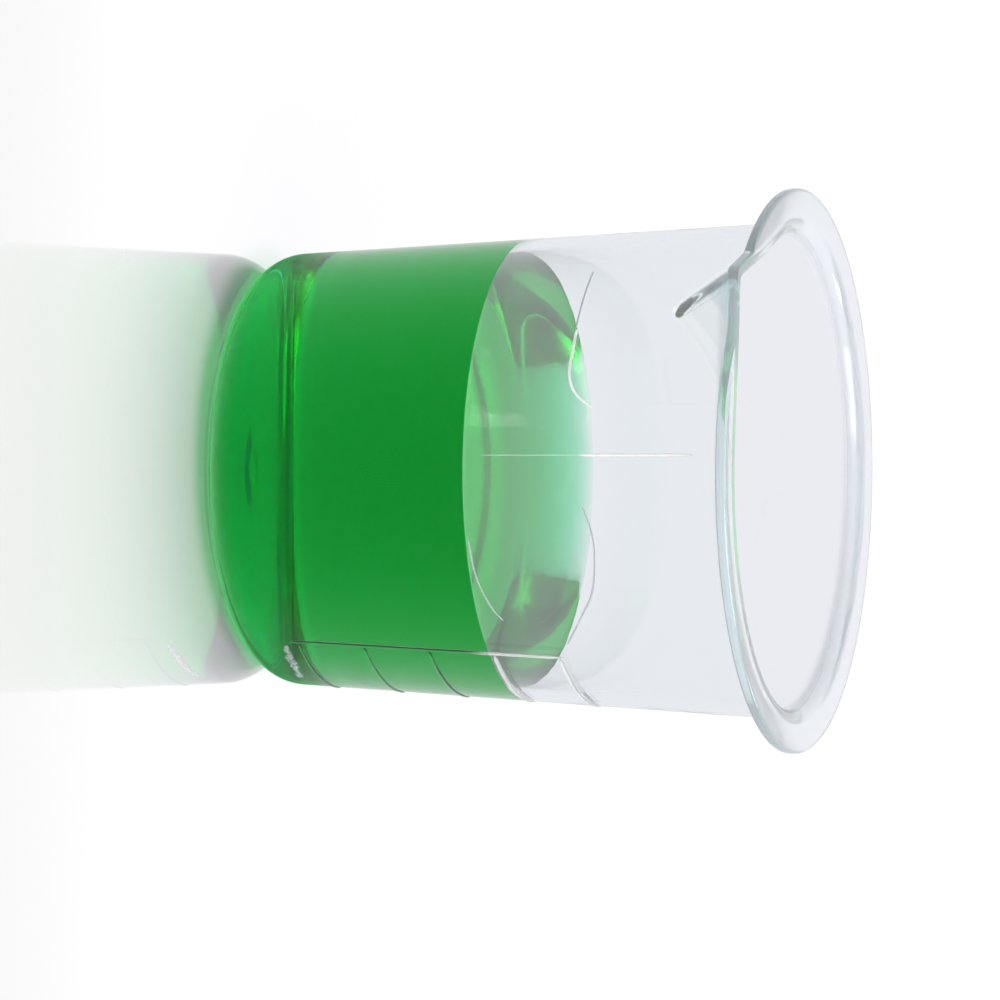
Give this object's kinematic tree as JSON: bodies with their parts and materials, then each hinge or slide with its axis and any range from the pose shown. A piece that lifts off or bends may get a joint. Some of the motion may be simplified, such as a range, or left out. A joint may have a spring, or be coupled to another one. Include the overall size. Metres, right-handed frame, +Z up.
{
  "type": "fuel sampler cup",
  "caption": "Small clear plastic beaker with a flat rim flange, a pouring spout and a raised graduation scale, holding a green fuel sample.",
  "frame": {"origin": "on the cup's axis, in the plane that the cup stands on", "axes": "+Z up along the cup's axis, -X towards the pouring spout, -Y nearly towards the stem of the graduation scale"},
  "size_m": [0.0505, 0.0482, 0.0483],
  "materials": {
    "clear_plastic": "clear, polished",
    "scale_line": "clear, raised line of the same moulding",
    "fuel": "clear green liquid"
  },
  "bodies": {
    "root": {"cup_body": "clear_plastic", "fuel_sample": "fuel", "graduation_stem": "scale_line", "graduation_mark_1": "scale_line", "graduation_mark_2": "scale_line", "graduation_mark_3": "scale_line", "graduation_mark_4": "scale_line", "graduation_mark_5": "scale_line"}
  },
  "joints": []
}
